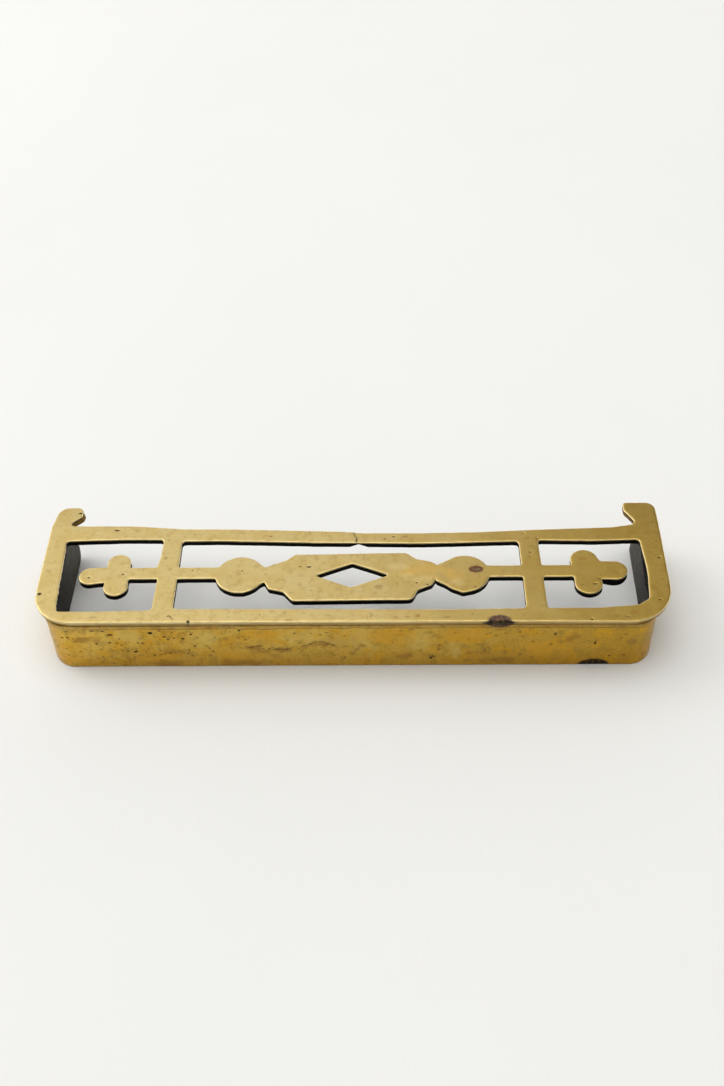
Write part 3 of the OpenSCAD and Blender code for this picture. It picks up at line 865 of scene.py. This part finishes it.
def bead(name, path, section, step, material, patina_and_light, node, mark_at=None):
    """A run of brazing metal along a path. section(s) gives its outline at each place, as k points
    of (distance out from the path, height), and the outlines are joined by faces and closed by caps."""
    s = np.arange(0.15, path.length - 0.15, step)
    spot, normal = path.at(s)
    shape = section(s)
    n, k = shape.shape[:2]
    xyz = np.empty((n, k, 3))
    xyz[..., :2] = spot[:, None, :] + normal[:, None, :] * shape[..., :1]
    xyz[..., 2] = shape[..., 1]
    i, j = np.meshgrid(np.arange(n - 1), np.arange(k), indexing="ij")
    a, b = i * k + j, i * k + (j + 1) % k
    c, d = a + k, b + k
    tris = [np.c_[a.ravel(), b.ravel(), d.ravel()], np.c_[a.ravel(), d.ravel(), c.ravel()]]
    caps = np.vstack([xyz[0].mean(0), xyz[-1].mean(0)])
    j = np.arange(k)
    last = (n - 1) * k
    tris += [np.c_[np.full(k, n * k), (j + 1) % k, j],
             np.c_[np.full(k, n * k + 1), last + j, last + (j + 1) % k]]
    points = np.vstack([xyz.reshape(-1, 3), caps])
    mark = np.tile(NO_MARK, (len(points), 1))
    if mark_at is not None:
        mark = mark_at(points)
    return make_piece(name, sag(points), np.vstack(tris), mark, np.full(len(points), patina_and_light), material,
                      node)


def outer_section(s):
    """A thin hollow fillet under the lip, uneven in height."""
    at = np.c_[s, np.zeros(len(s))]
    drop = 1.75 + 0.45 * field(at, 5.0, 17) + 0.15 * field(at, 1.3, 18)
    reach = 0.24 + 0.05 * field(at, 2.4, 19)
    t = np.linspace(0, math.pi / 2, 7)
    out = reach[:, None] * (1 - np.sin(t)) + 0.02
    down = -drop[:, None] * (1 - np.cos(t))
    top = skirt_hi[2] - BRAZE_GAP
    face = np.stack([out, top + down], -1)
    back = np.stack([np.full((len(s), 2), -0.5), np.c_[skirt_hi[2] - drop, np.full(len(s), top)]], -1)
    return np.concatenate([face, back], 1)[:, ::-1]


def inner_section(s):
    """A rough fillet inside, with lumps of metal left as it ran."""
    at = np.c_[s, np.zeros(len(s))]
    t = np.linspace(0, math.pi / 2, 6)
    swell = 1.25 + 0.28 * field(at, 4.0, 21)
    rows = []
    for k, angle in enumerate(t):
        lump = swell + 0.16 * field(at + [0, k * 0.7], 1.1, 22)
        rows.append(np.stack([-lump * (1 - math.sin(angle)), -lump * (1 - math.cos(angle))], -1))
    face = np.stack(rows, 1)
    back = np.stack([np.full((len(s), 2), 0.3), np.c_[-swell, np.zeros(len(s))]], -1)
    shape = np.concatenate([face, back], 1)
    shape[..., 1] += skirt_hi[2] - BRAZE_GAP
    return shape


def burn_mark(points):
    """The dark patch at the lip runs down over the fillet."""
    mark, _ = apply_marks(points[:, [0, 2]], [("burn", BURN_X, skirt_hi[2], 3.8, 1.6)])
    mark[points[:, 1] > skirt_lo[1] + 2] = 0
    return mark


plate_piece()
skirt_piece()
bead("outer_brazing", Path(), outer_section, 0.5, braze_brass, 0.0, "outer_braze", burn_mark)
bead("inner_brazing", Path(WALL_T), inner_section, 0.6, braze_dark, 0.9, "inner_braze")


# ---- floor, light and camera -------------------------------------------------


FLOOR_HALF = 3.0

# The camera: its place, its right and up directions, and its lens
CAMERA_AT = (0.0204, -0.31618, 0.35466)
CAMERA_RIGHT = (0.99927, 0.02060, -0.03231)
CAMERA_UP = (0.00783, 0.71566, 0.69841)
SENSOR_MM = 36.0
LENS_MM = 46.41


def make_floor():
    corners = [(x * FLOOR_HALF, y * FLOOR_HALF, 0) for x, y in ((-1, -1), (1, -1), (1, 1), (-1, 1))]
    mesh = bpy.data.meshes.new("floor")
    mesh.from_pydata(corners, [], [(0, 1, 2, 3)])
    mesh.materials.append(floor_material())
    floor = bpy.data.objects.new("floor", mesh)
    bpy.context.scene.collection.objects.link(floor)


def make_world():
    """A plain studio: a pale wall behind and to the left, a dim one to the right and in front, a bright
    band low down behind and at the sides, and a bright ceiling."""
    world = bpy.data.worlds.new("studio")
    bpy.context.scene.world = world
    world.use_nodes = True
    n = Nodes(world.node_tree)
    ray = n.add("ShaderNodeTexCoord").outputs["Generated"]
    xyz = n.add("ShaderNodeSeparateXYZ", {0: ray})
    height = xyz.outputs[2]
    to_right = n.band(xyz.outputs[0], 0.02, 0.265)
    to_front = n.band(xyz.outputs[1], 0.12, -0.4)
    wall = n.mix(to_right, (0.96, 0.95, 0.92), (0.13, 0.115, 0.08))
    wall = n.mix(n.band(height, 0.12, 0.46), (2.3, 2.29, 2.26), wall)
    colour = n.mix(to_front, wall, (0.36, 0.36, 0.35))
    colour = n.mix(n.band(height, 0.82, 0.96), colour, (2.4, 2.4, 2.36))
    back = n.add("ShaderNodeBackground", {"Color": colour, "Strength": 1.0})
    n.add("ShaderNodeOutputWorld", {"Surface": back.outputs[0]})


def add_area(name, at, towards, size, power):
    light = bpy.data.lights.new(name, "AREA")
    light.shape = "RECTANGLE"
    light.size, light.size_y = size
    light.energy = power
    lamp = bpy.data.objects.new(name, light)
    bpy.context.scene.collection.objects.link(lamp)
    direction = Vector(towards) - Vector(at)
    lamp.matrix_world = Matrix.Translation(at) @ direction.to_track_quat("-Z", "Y").to_matrix().to_4x4()


def make_camera():
    data = bpy.data.cameras.new("camera")
    data.sensor_fit = "VERTICAL"
    data.sensor_height = SENSOR_MM
    data.lens = LENS_MM
    data.clip_start = 0.01
    camera = bpy.data.objects.new("camera", data)
    bpy.context.scene.collection.objects.link(camera)
    right = Vector(CAMERA_RIGHT)
    up = Vector(CAMERA_UP)
    turn = Matrix((right, up, right.cross(up))).transposed().to_4x4()
    camera.matrix_world = Matrix.Translation(CAMERA_AT) @ turn
    bpy.context.scene.camera = camera


make_floor()
make_world()
add_area("key", (-1.1, 0.45, 1.0), (0, 0, 0), (0.9, 0.9), 5.5)
make_camera()
bpy.context.scene.view_settings.view_transform = "Standard"
